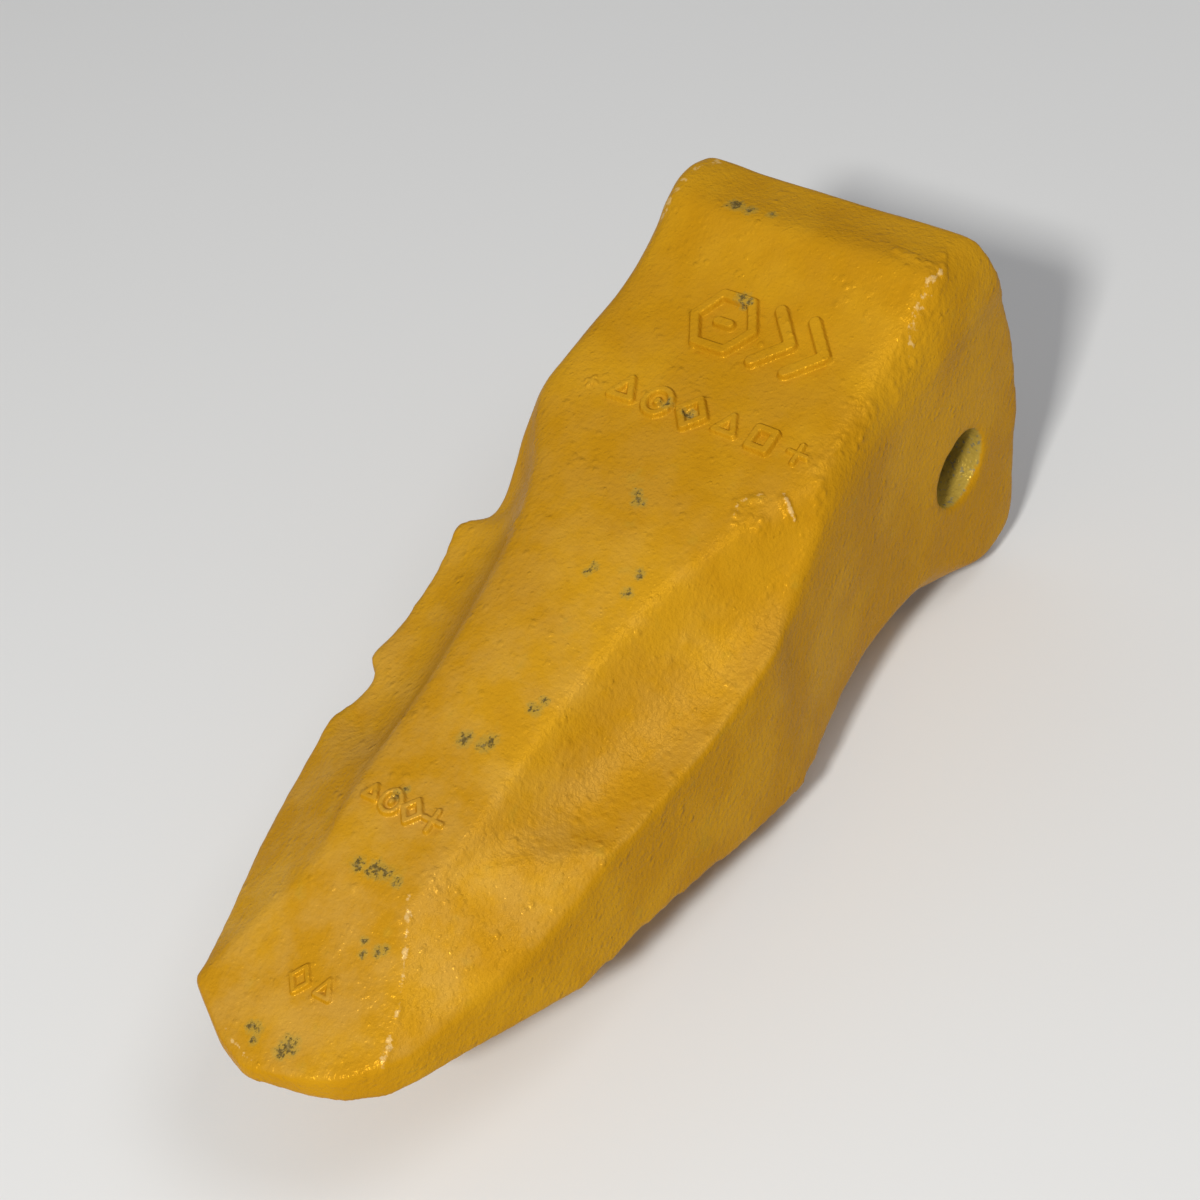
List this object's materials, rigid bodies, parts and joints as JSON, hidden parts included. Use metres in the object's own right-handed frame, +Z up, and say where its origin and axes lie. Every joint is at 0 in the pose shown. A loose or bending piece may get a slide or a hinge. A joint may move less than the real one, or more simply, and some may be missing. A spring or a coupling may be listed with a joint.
{
  "type": "excavator bucket tooth",
  "caption": "Hollow cast digging tooth with a chisel edge and side wings; a cross pin and split retainer lock it on a tapered adapter nose.",
  "frame": {"origin": "on the axis of the pin bore, in the tooth's middle plane", "axes": "+X towards the digging edge, +Y along the pin, +Z up towards the crown"},
  "size_m": [0.3932, 0.132, 0.1719],
  "materials": {
    "cast_paint": "ochre yellow paint over a rough sand-cast steel surface, worn and chipped at the edges",
    "pin_steel": "turned and hardened, oiled",
    "spring_steel": "dark tempered spring steel",
    "elastomer": "matte moulded elastomer"
  },
  "bodies": {
    "tip": {"tip_casting": "cast_paint", "retainer_cushion": "elastomer", "retainer_ring": "spring_steel"},
    "pin": {"locking_pin": "pin_steel"}
  },
  "joints": [
    {"name": "pin_drive", "type": "slide", "parent": "tip", "child": "pin", "axis": [0, 1, 0], "range_m": [0, 0.108], "deforming": ["retainer_ring"]}
  ]
}
